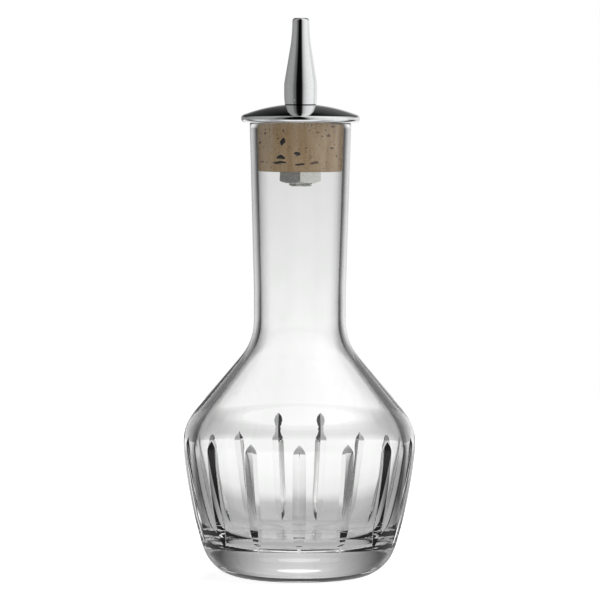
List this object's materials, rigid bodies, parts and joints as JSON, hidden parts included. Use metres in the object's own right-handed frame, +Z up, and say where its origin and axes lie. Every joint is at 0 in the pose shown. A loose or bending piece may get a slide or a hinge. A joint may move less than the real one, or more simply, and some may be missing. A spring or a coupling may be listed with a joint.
{
  "type": "bitters bottle",
  "caption": "Cut-crystal bitters bottle with a long neck and wheel-cut flutes, closed by a cork stopper with a domed chrome cap and a slender drip spout.",
  "frame": {"origin": "centre of the flat foot that the bottle stands on", "axes": "+Z up along the bottle's axis to the spout's tip; -Y is the front, where one flute faces; +X is to the right seen from the front"},
  "size_m": [0.069, 0.069, 0.165],
  "materials": {
    "crystal": "clear lead-free crystal, polished all over, flutes wheel-cut and polished",
    "cork": "natural cork, turned, with fine pores and dark lenticels",
    "chrome": "mirror-bright chrome plate on turned brass",
    "nickelled_steel": "nickel-plated steel, satin"
  },
  "bodies": {
    "bottle": {"glass_bottle": "crystal"},
    "stopper": {"cork_collar": "cork", "dome_cap": "chrome", "pour_spout": "chrome", "threaded_tube": "nickelled_steel", "hex_nut": "nickelled_steel"}
  },
  "joints": [
    {"name": "stopper_lift", "type": "slide", "parent": "bottle", "child": "stopper", "axis": [0, 0, 1], "range_m": [0, 0.06]}
  ]
}
